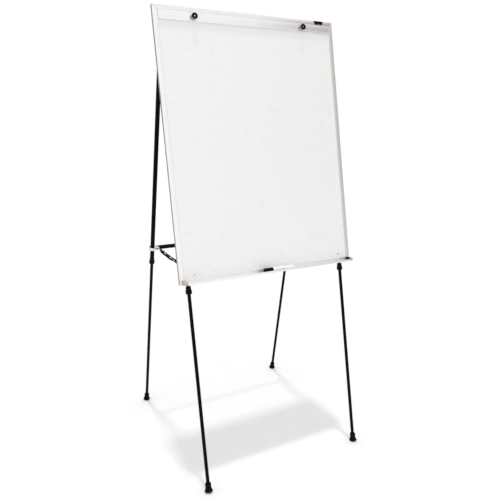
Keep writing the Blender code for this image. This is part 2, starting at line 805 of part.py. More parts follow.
def build_screw(name, board, x, height, length):
    """Screw with a domed head on the board's face. Local Z points out of the face."""
    seat = -RAIL_WALL
    profile = [
        (0, seat + SCREW_HEAD),
        (SCREW_HEAD_RADIUS * 0.6, seat + SCREW_HEAD * 0.85),
        (SCREW_HEAD_RADIUS, seat + SCREW_HEAD * 0.4),
        (SCREW_HEAD_RADIUS, seat),
        (SCREW_RADIUS, seat),
        (SCREW_RADIUS, seat - length),
        (0, seat - length),
    ]
    bm = bmesh.new()
    turned(bm, profile, 14)
    make_object(name, bm, ZINC_STEEL, board, (x, 0, height), (math.pi / 2, 0, 0), smooth=True)


# ---------------------------------------------------------------- brackets, crossbar and braces

def build_front_bracket(board, side):
    """Saddle round the front tube. Its flange is screwed to the board and its ear holds a brace."""
    wrap = UPPER_RADIUS + GAP + STRIP / 2
    flange_y = BACKING_BACK + GAP + STRIP / 2
    path = [(FRONT_EAR_X, FRONT_PIVOT_Y + LINK_END_RADIUS), (FRONT_EAR_X, flange_y)]
    path.append((FRONT_TUBE_X - wrap, flange_y))
    path += rounded_end((FRONT_TUBE_X, FRONT_TUBE_Y), wrap, math.pi, 0, 10)
    outer_flange = 0.006
    path += [(FRONT_TUBE_X + wrap, flange_y), (FRONT_TUBE_X + wrap + outer_flange, flange_y)]
    outline = [(side * x, y) for x, y in bent_strip(path, STRIP)]
    bm = bmesh.new()
    prism(bm, outline, "Z", BRACKET_BOTTOM, BRACKET_TOP)
    name = side_name(side)
    bracket = make_object(f"front_bracket_{name}", bm, BLACK_PAINT, board)
    bm = bmesh.new()
    screw = along_y(side * BRACKET_SCREW_X, 0, BRACKET_SCREW_HEIGHT)
    cylinder(bm, SCREW_RADIUS + GAP, -flange_y - 2 * STRIP, 0, screw)
    pivot = along_x(side * FRONT_EAR_X, FRONT_PIVOT_Y, FRONT_PIVOT_HEIGHT)
    cylinder(bm, RIVET_HOLE, -2 * STRIP, 2 * STRIP, pivot)
    add_boolean(bracket, make_cutter(f"bracket_hole_cutter_{name}", bm, board), "DIFFERENCE")


def rear_tube_x(drop):
    """Distance of a rear tube's axis from the middle, at a drop below the hinge."""
    return HINGE_X + drop * math.tan(REAR_SPLAY)


def build_crossbar(rear):
    """Steel channel behind the rear tubes, open to the back."""
    front = CROSSBAR_FRONT
    back = front + CROSSBAR_DEPTH
    wall = CROSSBAR_WALL
    half = CROSSBAR_HALF_HEIGHT
    low = -CROSSBAR_DROP - half
    high = -CROSSBAR_DROP + half
    outline = [
        (front, low),
        (back, low),
        (back, low + wall),
        (front + wall, low + wall),
        (front + wall, high - wall),
        (back, high - wall),
        (back, high),
        (front, high),
    ]
    reach = rear_tube_x(CROSSBAR_DROP) + CROSSBAR_OVERHANG
    bm = bmesh.new()
    prism(bm, outline, "X", -reach, reach)
    bar = make_object("crossbar", bm, BLACK_PAINT, rear)
    bm = bmesh.new()
    for side in (-1, 1):
        rivet = along_y(side * CLIP_RIVET_X, 0, -CLIP_RIVET_DROP)
        cylinder(bm, CLIP_RIVET_RADIUS + GAP, -CROSSBAR_FRONT - 4 * wall, 0, rivet)
    add_boolean(bar, make_cutter("crossbar_hole_cutter", bm, rear), "DIFFERENCE")


def build_rear_clip(rear, side):
    """Bright steel band round the front of the rear tube, with the rear ear of the brace."""
    tube_x = rear_tube_x(CLIP_DROP)
    ease = 0.0002
    wrap = UPPER_RADIUS + GAP + ease + STRIP / 2
    run_y = CROSSBAR_FRONT - GAP - STRIP / 2
    ear_end = REAR_PIVOT_Y - 0.0065
    path = [(tube_x + wrap, CROSSBAR_FRONT - GAP)]
    path += rounded_end((tube_x, 0), wrap, 0, -math.pi, 10)
    path += [(tube_x - wrap, run_y), (REAR_EAR_X, run_y), (REAR_EAR_X, ear_end)]
    outline = [(side * x, y) for x, y in bent_strip(path, STRIP)]
    bm = bmesh.new()
    prism(bm, outline, "Z", -CLIP_DROP - CLIP_HALF_HEIGHT, -CLIP_DROP + CLIP_HALF_HEIGHT)
    name = side_name(side)
    clip = make_object(f"rear_clip_{name}", bm, ZINC_STEEL, rear)
    bm = bmesh.new()
    rivet = along_y(side * CLIP_RIVET_X, 0, -CLIP_RIVET_DROP)
    cylinder(bm, CLIP_RIVET_RADIUS + GAP, -CROSSBAR_FRONT - 4 * CROSSBAR_WALL, 0, rivet)
    pivot = along_x(side * REAR_EAR_X, REAR_PIVOT_Y, -REAR_PIVOT_DROP)
    cylinder(bm, RIVET_HOLE, -2 * STRIP, 2 * STRIP, pivot)
    add_boolean(clip, make_cutter(f"clip_hole_cutter_{name}", bm, rear), "DIFFERENCE")


def build_clip_rivet(rear, side):
    """Rivet that joins the clip to the crossbar. Local Z points to the front."""
    front = -(CROSSBAR_FRONT - GAP - STRIP) + GAP
    back = -(CROSSBAR_FRONT + CROSSBAR_WALL) - GAP
    radius = CLIP_RIVET_HEAD_RADIUS
    profile = [
        (0, front + RIVET_HEAD),
        (radius * 0.6, front + RIVET_HEAD),
        (radius, front + RIVET_HEAD * 0.35),
        (radius, front),
        (CLIP_RIVET_RADIUS, front),
        (CLIP_RIVET_RADIUS, back),
        (radius, back),
        (radius * 0.9, back - RIVET_HEAD * 0.7),
        (0, back - RIVET_HEAD * 0.85),
    ]
    bm = bmesh.new()
    turned(bm, profile, 14)
    where = (side * CLIP_RIVET_X, 0, -CLIP_RIVET_DROP)
    turn = (math.pi / 2, 0, 0)
    make_object(f"clip_rivet_{side_name(side)}", bm, ZINC_STEEL, rear, where, turn, smooth=True)


def link_outline(length):
    """Outline of a link from its pivot at 0 to its far pivot, with round ends."""
    radius = LINK_END_RADIUS
    half = LINK_HALF_HEIGHT
    lift = math.asin(half / radius)
    near = rounded_end((0, 0), radius, math.pi - lift, math.pi + lift, 8)
    far = rounded_end((length, 0), radius, -lift, lift, 8)
    return near + far


def build_front_link(pivot, length, side):
    name = side_name(side)
    half = FRONT_LINK_THICKNESS / 2
    bm = bmesh.new()
    prism(bm, link_outline(length), "X", -half, half)
    where = (side * FRONT_LINK_X, 0, 0)
    link = make_object(f"brace_front_link_{name}", bm, BLACK_PAINT, pivot, where)
    bm = bmesh.new()
    for along in (0, length):
        cylinder(bm, RIVET_HOLE, -2 * half, 2 * half, along_x(side * FRONT_LINK_X, along, 0))
    add_boolean(link, make_cutter(f"front_link_hole_cutter_{name}", bm, pivot), "DIFFERENCE")


def build_rear_link(pivot, length, side):
    """Link with two slots and stiffening flanges that point outwards, away from the front link."""
    name = side_name(side)
    half = STRIP / 2
    bm = bmesh.new()
    prism(bm, link_outline(length), "X", -half, half)
    where = (side * REAR_LINK_X, 0, 0)
    link = make_object(f"brace_rear_link_{name}", bm, BLACK_PAINT, pivot, where)
    bite = 0.0004
    flange_depth = 0.0045
    flange_wall = 0.0012
    flange_x = sorted((side * (REAR_LINK_X + half - bite), side * (REAR_LINK_X + flange_depth)))
    margin = 0.022
    outer = LINK_HALF_HEIGHT - 0.0001
    for index, edge in enumerate((-1, 1)):
        reach = sorted((edge * (outer - flange_wall), edge * outer))
        bm = bmesh.new()
        box(bm, (flange_x[0], margin, reach[0]), (flange_x[1], length - margin, reach[1]))
        helper = make_cutter(f"rear_link_flange_{name}_{index}", bm, pivot)
        add_boolean(link, helper, "UNION")
    bm = bmesh.new()
    for along in (0, length):
        cylinder(bm, RIVET_HOLE, -STRIP, STRIP, along_x(side * REAR_LINK_X, along, 0))
    slot_radius = 0.002
    slot_half = 0.011
    for centre in (0.066, 0.130):
        outline = rounded_end((centre - slot_half, 0), slot_radius, math.pi / 2, 1.5 * math.pi, 4)
        outline += rounded_end((centre + slot_half, 0), slot_radius, -math.pi / 2, math.pi / 2, 4)
        middle = side * REAR_LINK_X
        prism(bm, outline, "X", middle - STRIP, middle + STRIP)
    add_boolean(link, make_cutter(f"rear_link_hole_cutter_{name}", bm, pivot), "DIFFERENCE")


def build_pivot_rivet(name, parent, side, head_x, end_x, place_yz):
    """Rivet along X with its head at head_x and its flush end at end_x."""
    direction = 1 if end_x > head_x else -1
    shank = abs(end_x - head_x)
    profile = [
        (0, -RIVET_HEAD),
        (RIVET_HEAD_RADIUS * 0.6, -RIVET_HEAD),
        (RIVET_HEAD_RADIUS, -RIVET_HEAD * 0.35),
        (RIVET_HEAD_RADIUS, 0),
        (RIVET_RADIUS, 0),
        (RIVET_RADIUS, shank),
        (0, shank),
    ]
    bm = bmesh.new()
    turned(bm, profile, 14)
    where = (side * head_x, place_yz[0], place_yz[1])
    turn = (0, side * direction * math.pi / 2, 0)
    make_object(name, bm, ZINC_STEEL, parent, where, turn, smooth=True)


def build_brace(board, rear, hinge_point, side):
    """Two links between the rear ear and the front ear, straight when the easel stands open."""
    name = side_name(side)
    board_point = Vector((0, FRONT_PIVOT_Y, FRONT_PIVOT_HEIGHT))
    board_point.rotate(Matrix.Rotation(-BOARD_LEAN, 3, "X"))
    front_pivot = board_point + Vector((0, BOARD_BASE_Y, BOARD_BASE_HEIGHT))
    rear_point = Vector((0, REAR_PIVOT_Y, -REAR_PIVOT_DROP))
    rear_point.rotate(Matrix.Rotation(REAR_LEAN, 3, "X"))
    rear_pivot = rear_point + hinge_point
    span = rear_pivot - front_pivot
    slope = math.atan2(span.z, span.y)
    rear_length = (span.length - LINK_DIFFERENCE) / 2
    front_length = (span.length + LINK_DIFFERENCE) / 2
    front_turn = (slope, 0, 0)
    front_axis = make_empty(f"brace_front_{name}_axis", None, front_pivot, front_turn)
    rear_turn = (slope + math.pi, 0, 0)
    rear_axis = make_empty(f"brace_rear_{name}_axis", None, rear_pivot, rear_turn)
    build_front_link(front_axis, front_length, side)
    build_rear_link(rear_axis, rear_length, side)
    recess = 0.0002
    web_face = REAR_LINK_X + STRIP / 2 + GAP
    web_end = REAR_LINK_X - STRIP / 2 + recess
    middle = (rear_length, 0)
    build_pivot_rivet(f"brace_middle_rivet_{name}", rear_axis, side, web_face, web_end, middle)
    ear_face = REAR_EAR_X + STRIP / 2 + GAP
    drop = (REAR_PIVOT_Y, -REAR_PIVOT_DROP)
    build_pivot_rivet(f"brace_rear_rivet_{name}", rear, side, ear_face, web_end, drop)
    front_face = FRONT_EAR_X - STRIP / 2 - GAP
    front_end = FRONT_LINK_X + FRONT_LINK_THICKNESS / 2 - recess
    at = (FRONT_PIVOT_Y, FRONT_PIVOT_HEIGHT)
    build_pivot_rivet(f"brace_front_rivet_{name}", board, side, front_face, front_end, at)


# ---------------------------------------------------------------- assembly

def build_easel():
    base = Vector((0, BOARD_BASE_Y, BOARD_BASE_HEIGHT))
    board = make_empty("board_tilt", None, base, (-BOARD_LEAN, 0, 0))
    hinge_offset = Vector((0, HINGE_Y, HINGE_HEIGHT))
    hinge_offset.rotate(Matrix.Rotation(-BOARD_LEAN, 3, "X"))
    hinge_point = base + hinge_offset
    rear = make_empty("rear_fold_axis", None, hinge_point, (REAR_LEAN, 0, 0))
    build_panel(board)
    build_top_rail(board)
    build_rail_catch(board)
    build_retainer_bar(board)
    build_marker_tray(board)
    build_marker(board)
    build_crossbar(rear)
    for side in (-1, 1):
        name = side_name(side)
        build_side_rail(board, side)
        build_retainer_bolt(board, side)
        build_retainer_knob(board, side)
        build_tray_end(board, side)
        build_front_leg(board, side)
        build_hinge_head(board, side)
        build_hinge_pin(board, side)
        hinge_screw = f"hinge_screw_{name}"
        screw_x = side * HINGE_SCREW_X
        build_screw(hinge_screw, board, screw_x, HINGE_SCREW_HEIGHT, HINGE_SCREW_LENGTH)
        build_front_bracket(board, side)
        bracket_screw = f"bracket_screw_{name}"
        screw_x = side * BRACKET_SCREW_X
        build_screw(bracket_screw, board, screw_x, BRACKET_SCREW_HEIGHT, BRACKET_SCREW_LENGTH)
        build_rear_leg(rear, hinge_point, side)
        build_rear_clip(rear, side)
        build_clip_rivet(rear, side)
        build_brace(board, rear, hinge_point, side)


clear_scene()
build_easel()
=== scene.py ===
"""Looks for the flipchart easel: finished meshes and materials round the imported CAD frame.

Local frames: the board frame has x across, y behind the board's face and z up along the board.
A turned piece has its own frame, with z along its axis and its low end at 0.
"""

import json
import math

import bmesh
import bpy
from mathutils import Matrix, Vector


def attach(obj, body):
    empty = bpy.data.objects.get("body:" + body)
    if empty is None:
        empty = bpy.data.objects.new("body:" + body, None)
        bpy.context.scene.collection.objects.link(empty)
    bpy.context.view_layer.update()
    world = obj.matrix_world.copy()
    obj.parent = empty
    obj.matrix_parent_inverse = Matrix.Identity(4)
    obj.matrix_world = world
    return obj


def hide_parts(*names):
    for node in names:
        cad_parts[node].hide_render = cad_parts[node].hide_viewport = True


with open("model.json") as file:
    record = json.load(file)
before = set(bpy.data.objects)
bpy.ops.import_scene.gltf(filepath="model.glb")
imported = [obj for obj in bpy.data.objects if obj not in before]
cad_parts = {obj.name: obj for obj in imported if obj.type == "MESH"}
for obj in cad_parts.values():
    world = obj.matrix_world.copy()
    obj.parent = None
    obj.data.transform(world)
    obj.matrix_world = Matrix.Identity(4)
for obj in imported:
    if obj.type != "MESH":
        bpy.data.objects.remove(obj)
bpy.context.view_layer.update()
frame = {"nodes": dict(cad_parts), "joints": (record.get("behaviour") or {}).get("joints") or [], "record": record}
RECORD = frame["record"]
JOINTS = {joint["name"]: joint for joint in frame["joints"]}
BODY_OF = {node: body for body, nodes in RECORD["behaviour"]["bodies"].items() for node in nodes}
SIDES = (-1, 1)

ACROSS = (1, 0, 0)
UPRIGHT = (0, 0, 1)
CLEARANCE = 0.0003      # left between a piece and one that goes through it
SAME_PLACE = 1e-6       # corners nearer than this are welded
SHARP_ANGLE = 35        # degrees between two faces, from which their edge is sharp
BOLT_HOLE = 0.0034      # radius of the holes that the retainer's bolts go through
SLIM_SHARE = 0.8955     # a lower tube's radius over that of the bush at its top
WALL = 0.001            # of the leg tubes
DRAWN_LENGTH = 600.0    # of the lines on extruded aluminium, over their width


# ---------------------------------------------------------------- places taken from the CAD

def side_name(side):
    """Sides are -1 and 1 along the board's x."""
    return "left" if side < 0 else "right"


def local_points(node, matrix):
    """The corners of a CAD node's mesh, in a local frame."""
    back = matrix.inverted()
    return [back @ vertex.co for vertex in frame["nodes"][node].data.vertices]


def span(node, matrix):
    """Lowest and highest corner of a CAD node, measured in a local frame."""
    points = local_points(node, matrix)
    low = Vector([min(point[axis] for point in points) for axis in range(3)])
    high = Vector([max(point[axis] for point in points) for axis in range(3)])
    return low, high


def turn_to(up, across=ACROSS):
    """Rotation whose z is up and whose x lies as near to across as it can."""
    z = Vector(up).normalized()
    y = z.cross(Vector(across)).normalized()
    return Matrix((y.cross(z), y, z)).transposed().to_4x4()


def axis_frame(node, up, across=ACROSS):
    """Frame on a turned node's axis with 0 at its low end, and the node's length and radius."""
    turn = turn_to(up, across)
    low, high = span(node, turn)
    foot = turn @ Vector(((low.x + high.x) / 2, (low.y + high.y) / 2, low.z))
    return Matrix.Translation(foot) @ turn, high.z - low.z, (high.x - low.x) / 2


BOARD_UP = Vector(JOINTS["front_leg_slide_left"]["axis"])
BOARD_OUT = Vector(JOINTS["retainer_slide"]["axis"])


def board_frame():
    """Frame in the board's middle, level with the rails' faces and the tray's lowest point."""
    turn = turn_to(BOARD_UP)
    face = span("side_rail_left", turn)[0].y
    base = span("marker_tray", turn)[0].z
    return Matrix.Translation(turn @ Vector((0, face, base))) @ turn


BOARD = board_frame()


# ---------------------------------------------------------------- materials

def start_material(name, colour, roughness, metallic=0.0, specular=0.5):
    """New material with even values, which the patterns then vary."""
    material = bpy.data.materials.new(name)
    material.use_nodes = True
    tree = material.node_tree
    shader = tree.nodes["Principled BSDF"]
    shader.inputs["Base Color"].default_value = (*colour, 1.0)
    shader.inputs["Roughness"].default_value = roughness
    shader.inputs["Metallic"].default_value = metallic
    shader.inputs["Specular IOR Level"].default_value = specular
    return material, tree, shader


def noise(tree, scale, detail=4.0, rough=0.6, stretch=(1, 1, 1), turn=(0, 0, 0)):
    """Noise fixed to the piece. Stretch lengthens the marks along the turned axes."""
    place = tree.nodes.new("ShaderNodeTexCoord")
    mapping = tree.nodes.new("ShaderNodeMapping")
    mapping.vector_type = "TEXTURE"
    mapping.inputs["Rotation"].default_value = turn
    mapping.inputs["Scale"].default_value = stretch
    tree.links.new(place.outputs["Object"], mapping.inputs["Vector"])
    texture = tree.nodes.new("ShaderNodeTexNoise")
    texture.inputs["Scale"].default_value = scale
    texture.inputs["Detail"].default_value = detail
    texture.inputs["Roughness"].default_value = rough
    tree.links.new(mapping.outputs["Vector"], texture.inputs["Vector"])
    return texture.outputs["Fac"]


def ranged(tree, value, low, high, out_low, out_high):
    """Smooth step from out_low to out_high as the value goes from low to high."""
    node = tree.nodes.new("ShaderNodeMapRange")
    node.interpolation_type = "SMOOTHSTEP"
    limits = {"From Min": low, "From Max": high, "To Min": out_low, "To Max": out_high}
    for label, number in limits.items():
        node.inputs[label].default_value = number
    tree.links.new(value, node.inputs["Value"])
    return node.outputs["Result"]


def combined(tree, operation, first, second):
    """Sum, product or difference of two values, which may be plain numbers."""
    node = tree.nodes.new("ShaderNodeMath")
    node.operation = operation
    for socket, value in zip(node.inputs, (first, second)):
        if isinstance(value, (int, float)):
            socket.default_value = value
        else:
            tree.links.new(value, socket)
    return node.outputs["Value"]


def colour_mix(tree, factor, first, second):
    """Mix of two colours through the Mix node's colour sockets."""
    node = tree.nodes.new("ShaderNodeMix")
    node.data_type = "RGBA"
    colours = [socket for socket in node.inputs if socket.type == "RGBA"]
    result = [socket for socket in node.outputs if socket.type == "RGBA"][0]
    tree.links.new(factor, node.inputs[0])
    for socket, value in zip(colours, (first, second)):
        if isinstance(value, tuple):
            socket.default_value = (*value, 1.0)
        else:
            tree.links.new(value, socket)
    return result


def bumped(tree, shader, height, strength, distance):
    """Fine relief, distance deep in metres at full strength."""
    node = tree.nodes.new("ShaderNodeBump")
    node.inputs["Strength"].default_value = strength
    node.inputs["Distance"].default_value = distance
    tree.links.new(height, node.inputs["Height"])
    tree.links.new(node.outputs["Normal"], shader.inputs["Normal"])


def edge_wear(tree, start, end):
    """Mask that grows on the outward edges of a piece, broken up by noise."""
    shape = tree.nodes.new("ShaderNodeNewGeometry")
    edge = ranged(tree, shape.outputs["Pointiness"], start, end, 0.0, 1.0)
    patches = ranged(tree, noise(tree, 160, 5), 0.42, 0.66, 0.0, 1.0)
    return combined(tree, "MULTIPLY", edge, patches)


def enamel_material():
    """White enamel writing surface with the faint haze that wiped-off ink leaves."""
    material, tree, shader = start_material("white_enamel", (0.875, 0.875, 0.87), 0.28)
    haze = ranged(tree, noise(tree, 5.0, 6, 0.62, (1, 1, 0.45)), 0.48, 0.74, 0.0, 1.0)
    wipes = ranged(tree, noise(tree, 26, 3, 0.5, (2.8, 1, 0.6), (0, 0.5, 0)), 0.5, 0.8, 0.0, 0.6)
    dulled = combined(tree, "MULTIPLY", haze, wipes)
    colour = colour_mix(tree, dulled, (0.888, 0.888, 0.884), (0.883, 0.884, 0.883))
    tree.links.new(colour, shader.inputs["Base Color"])
    gloss = ranged(tree, noise(tree, 14, 5), 0.3, 0.75, 0.27, 0.33)
    tree.links.new(gloss, shader.inputs["Roughness"])
    bumped(tree, shader, noise(tree, 420, 2), 0.03, 0.0003)
    shader.inputs["Coat Weight"].default_value = 0.25
    shader.inputs["Coat Roughness"].default_value = 0.12
    return material


def aluminium_material(name, colour, roughness, along, metallic=0.7):
    """Extruded aluminium. Its drawing lines run along one axis of the board frame."""
    material, tree, shader = start_material(name, colour, roughness, metallic)
    stretch = [1.0, 1.0, 1.0]
    stretch["XYZ".index(along)] = DRAWN_LENGTH
    lean = BOARD.to_euler()
    lines = noise(tree, 1100, 3, 0.7, stretch, lean)
    bands = noise(tree, 260, 2, 0.5, stretch, lean)
    cloud = noise(tree, 9, 4)
    light = tuple(min(1.0, value * 1.03) for value in colour)
    dark = tuple(value * 0.97 for value in colour)
    clouded = combined(tree, "ADD", bands, combined(tree, "MULTIPLY", cloud, 0.35))
    tint = ranged(tree, clouded, 0.5, 0.85, 0.0, 1.0)
    tree.links.new(colour_mix(tree, tint, dark, light), shader.inputs["Base Color"])
    rough = ranged(tree, lines, 0.3, 0.7, roughness * 0.88, roughness * 1.15)
    tree.links.new(rough, shader.inputs["Roughness"])
    bumped(tree, shader, lines, 0.05, 0.0002)
    return material


def paint_material():
    """Satin black paint on steel, with fine orange peel, light scuffs and worn edges."""
    colour = (0.003, 0.003, 0.003)
    material, tree, shader = start_material("satin_black_paint", colour, 0.5, 0.0, 0.05)
    scuffs = ranged(tree, noise(tree, 70, 6, 0.7, (1, 1, 3)), 0.62, 0.80, 0.0, 0.5)
    base = colour_mix(tree, scuffs, (0.0026, 0.0026, 0.0028), (0.009, 0.009, 0.0095))
    worn = colour_mix(tree, edge_wear(tree, 0.53, 0.64), base, (0.05, 0.049, 0.047))
    tree.links.new(worn, shader.inputs["Base Color"])
    rough = ranged(tree, noise(tree, 45, 5), 0.3, 0.75, 0.40, 0.58)
    tree.links.new(rough, shader.inputs["Roughness"])
    bumped(tree, shader, noise(tree, 1400, 3), 0.16, 0.0002)
    return material


def plastic_material(name, colour, roughness, grain, specular=0.06):
    """Moulded plastic with a fine spark-eroded grain and slightly rubbed edges."""
    material, tree, shader = start_material(name, colour, roughness, 0.0, specular)
    cloud = ranged(tree, noise(tree, 60, 5), 0.35, 0.7, 0.0, 1.0)
    light = tuple(min(1.0, value * 1.35 + 0.002) for value in colour)
    base = colour_mix(tree, cloud, colour, light)
    rubbed = tuple(min(1.0, value * 2.2 + 0.012) for value in colour)
    worn = colour_mix(tree, edge_wear(tree, 0.54, 0.68), base, rubbed)
    tree.links.new(worn, shader.inputs["Base Color"])
    rough = ranged(tree, noise(tree, 120, 4), 0.3, 0.75, roughness * 0.85, min(1.0, roughness * 1.2))
    tree.links.new(rough, shader.inputs["Roughness"])
    bumped(tree, shader, noise(tree, 2600, 2, 0.5), grain, 0.00018)
    return material


def rubber_material():
    """Matt rubber with moulding grain, and floor dust towards the sole."""
    material, tree, shader = start_material("foot_rubber", (0.006, 0.006, 0.006), 0.8, 0.0, 0.06)
    place = tree.nodes.new("ShaderNodeTexCoord")
    split = tree.nodes.new("ShaderNodeSeparateXYZ")
    tree.links.new(place.outputs["Object"], split.inputs["Vector"])
    low = ranged(tree, split.outputs["Z"], 0.001, 0.010, 1.0, 0.0)
    dust = combined(tree, "MULTIPLY", low, ranged(tree, noise(tree, 220, 6), 0.4, 0.7, 0.0, 0.8))
    cloud = ranged(tree, noise(tree, 90, 4), 0.35, 0.7, 0.0, 1.0)
    base = colour_mix(tree, cloud, (0.0036, 0.0036, 0.0036), (0.0070, 0.0068, 0.0066))
    tree.links.new(colour_mix(tree, dust, base, (0.040, 0.038, 0.036)), shader.inputs["Base Color"])
    tree.links.new(ranged(tree, noise(tree, 150, 4), 0.3, 0.7, 0.68, 0.9), shader.inputs["Roughness"])
    bumped(tree, shader, noise(tree, 1800, 3), 0.3, 0.0003)
    return material


def zinc_material(name, level):
    """Zinc plate with its mottled film and fine grain. Level darkens it as a whole."""
    material, tree, shader = start_material(name, (0.82, 0.82, 0.80), 0.25, 1.0)
    film = ranged(tree, noise(tree, 240, 5), 0.35, 0.7, 0.0, 1.0)
    bright = tuple(value * level for value in (0.86, 0.86, 0.85))
    dull = tuple(value * level for value in (0.74, 0.735, 0.70))
    tree.links.new(colour_mix(tree, film, bright, dull), shader.inputs["Base Color"])
    tree.links.new(ranged(tree, noise(tree, 500, 4), 0.3, 0.75, 0.18, 0.36), shader.inputs["Roughness"])
    bumped(tree, shader, noise(tree, 1700, 3), 0.12, 0.0002)
    return material


def felt_material():
    """Dense black fibre soaked with ink."""
    material, tree, shader = start_material("tip_felt", (0.02, 0.02, 0.022), 0.95, 0.0, 0.1)
    fibres = noise(tree, 3200, 4, 0.7, (4, 1, 1))
    strands = ranged(tree, fibres, 0.35, 0.7, 0.0, 1.0)
    colour = colour_mix(tree, strands, (0.012, 0.012, 0.014), (0.045, 0.045, 0.05))
    tree.links.new(colour, shader.inputs["Base Color"])
    bumped(tree, shader, fibres, 0.6, 0.0003)
    shader.inputs["Sheen Weight"].default_value = 0.3
    return material


def core_material():
    """Pressed fibre board between the two metal sheets."""
    material, tree, shader = start_material("fibre_core", (0.50, 0.38, 0.25), 0.85)
    fibres = noise(tree, 900, 6, 0.7, (3, 1, 1))
    strands = ranged(tree, fibres, 0.3, 0.7, 0.0, 1.0)
    colour = colour_mix(tree, strands, (0.40, 0.29, 0.18), (0.58, 0.45, 0.31))
    tree.links.new(colour, shader.inputs["Base Color"])
    bumped(tree, shader, fibres, 0.5, 0.0004)
    return material


def backing_material():
    """Thin galvanised sheet with a faint spangle and a few long rub marks."""
    material, tree, shader = start_material("backing_sheet", (0.56, 0.57, 0.58), 0.5, 0.55)
    place = tree.nodes.new("ShaderNodeTexCoord")
    spangle = tree.nodes.new("ShaderNodeTexVoronoi")
    spangle.inputs["Scale"].default_value = 95
    spangle.inputs["Randomness"].default_value = 1.0
    tree.links.new(place.outputs["Object"], spangle.inputs["Vector"])
    split = tree.nodes.new("ShaderNodeSeparateColor")
    tree.links.new(spangle.outputs["Color"], split.inputs["Color"])
    cells = split.outputs["Red"]
    rubs = ranged(tree, noise(tree, 30, 5, 0.6, (6, 1, 1)), 0.60, 0.72, 0.0, 0.5)
    base = colour_mix(tree, cells, (0.50, 0.51, 0.52), (0.60, 0.61, 0.615))
    tree.links.new(colour_mix(tree, rubs, base, (0.70, 0.70, 0.70)), shader.inputs["Base Color"])
    tree.links.new(ranged(tree, cells, 0.0, 1.0, 0.38, 0.58), shader.inputs["Roughness"])
    bumped(tree, shader, noise(tree, 300, 3), 0.12, 0.0004)
    return material


FACE_ALUMINIUM = (0.905, 0.902, 0.895)
# Painted shade: the rails' outer walls are the same aluminium, coloured dark for the shade on that side.
PAINTED_SHADE_ALUMINIUM = (0.30, 0.295, 0.29)
TOP_ALUMINIUM = (0.85, 0.847, 0.84)
TRAY_ALUMINIUM = (0.94, 0.937, 0.93)
BLACK = (0.0038, 0.0038, 0.0040)
WARM_GREY = (0.42, 0.36, 0.31)
OFF_WHITE = (0.80, 0.80, 0.785)
MATERIALS = {
    "rail_x": aluminium_material("aluminium_drawn_across", TOP_ALUMINIUM, 0.18, "X", 0.7),
    "bar": aluminium_material("aluminium_bar", FACE_ALUMINIUM, 0.195, "X", 0.6),
    "tray": aluminium_material("aluminium_tray", TRAY_ALUMINIUM, 0.24, "X", 0.6),
    "rail_z": aluminium_material("aluminium_drawn_upwards", FACE_ALUMINIUM, 0.24, "Z", 0.5),
    "sawn": aluminium_material("aluminium_sawn_end", FACE_ALUMINIUM, 0.6, "Y", 0.15),
    # Painted shade on the side rails' outer walls.
    "rail_side_shade": aluminium_material("aluminium_side_painted_shade", PAINTED_SHADE_ALUMINIUM, 0.55, "Z"),
    "paint": paint_material(),
    "plastic": plastic_material("black_moulding", BLACK, 0.46, 0.22),
    "grey": plastic_material("warm_grey_moulding", WARM_GREY, 0.5, 0.3, 0.3),
    "rubber": rubber_material(),
    "zinc": zinc_material("zinc_plate", 1.0),
    # Darker zinc for the screws, and painted shade on the bolts' tips.
    "screw": zinc_material("darker_zinc_and_painted_shade", 0.62),
    "barrel": plastic_material("white_barrel", OFF_WHITE, 0.32, 0.08, 0.5),
    "felt": felt_material(),
}


# ---------------------------------------------------------------- mesh helpers

def finish_piece(name, bm, matrix, materials, angle=SHARP_ANGLE):
    """Make the object at its place, smooth except at edges over angle degrees."""
    bmesh.ops.recalc_face_normals(bm, faces=bm.faces)
    mesh = bpy.data.meshes.new(name)
    bm.to_mesh(mesh)
    bm.free()
    mesh.shade_smooth()
    mesh.set_sharp_from_angle(angle=math.radians(angle))
    obj = bpy.data.objects.new(name, mesh)
    for material in materials:
        mesh.materials.append(MATERIALS[material])
    bpy.context.scene.collection.objects.link(obj)
    obj.matrix_world = matrix
    return obj


def stand_for(obj, node):
    """The piece takes the node's body and place, and the node isn't shown. Its place goes
    into its mesh, as a CAD node's does."""
    bpy.context.view_layer.update()
    obj.data.transform(obj.matrix_world)
    obj.matrix_world = Matrix.Identity(4)
    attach(obj, BODY_OF[node])
    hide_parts(node)


def applied(obj):
    """Bake the modifiers into the mesh."""
    graph = bpy.context.evaluated_depsgraph_get()
    mesh = bpy.data.meshes.new_from_object(obj.evaluated_get(graph))
    obj.modifiers.clear()
    obj.data = mesh


def carve(obj, bm):
    """Cut a helper shape, given in the object's own space, out of it."""
    bmesh.ops.recalc_face_normals(bm, faces=bm.faces)
    mesh = bpy.data.meshes.new(f"{obj.name}_helper")
    bm.to_mesh(mesh)
    bm.free()
    helper = bpy.data.objects.new(f"{obj.name}_helper", mesh)
    bpy.context.scene.collection.objects.link(helper)
    helper.matrix_world = obj.matrix_world
    modifier = obj.modifiers.new("carve", "BOOLEAN")
    modifier.operation = "DIFFERENCE"
    modifier.solver = "EXACT"
    modifier.object = helper
    bpy.context.view_layer.update()
    applied(obj)
    bpy.data.objects.remove(helper, do_unlink=True)


def ease_edges(obj, width, angle):
    """Round the sharp edges by a small radius, with true normals on the flats."""
    flat = math.radians(0.5)
    bm = bmesh.new()
    bm.from_mesh(obj.data)
    bmesh.ops.remove_doubles(bm, verts=bm.verts, dist=SAME_PLACE)
    bmesh.ops.dissolve_limit(bm, angle_limit=flat, verts=bm.verts, edges=bm.edges)
    bm.to_mesh(obj.data)
    bm.free()
    modifier = obj.modifiers.new("ease", "BEVEL")
    modifier.width = width
    modifier.segments = 3
    modifier.limit_method = "ANGLE"
    modifier.angle_limit = math.radians(angle)
    modifier.harden_normals = True
    bpy.context.view_layer.update()
    applied(obj)


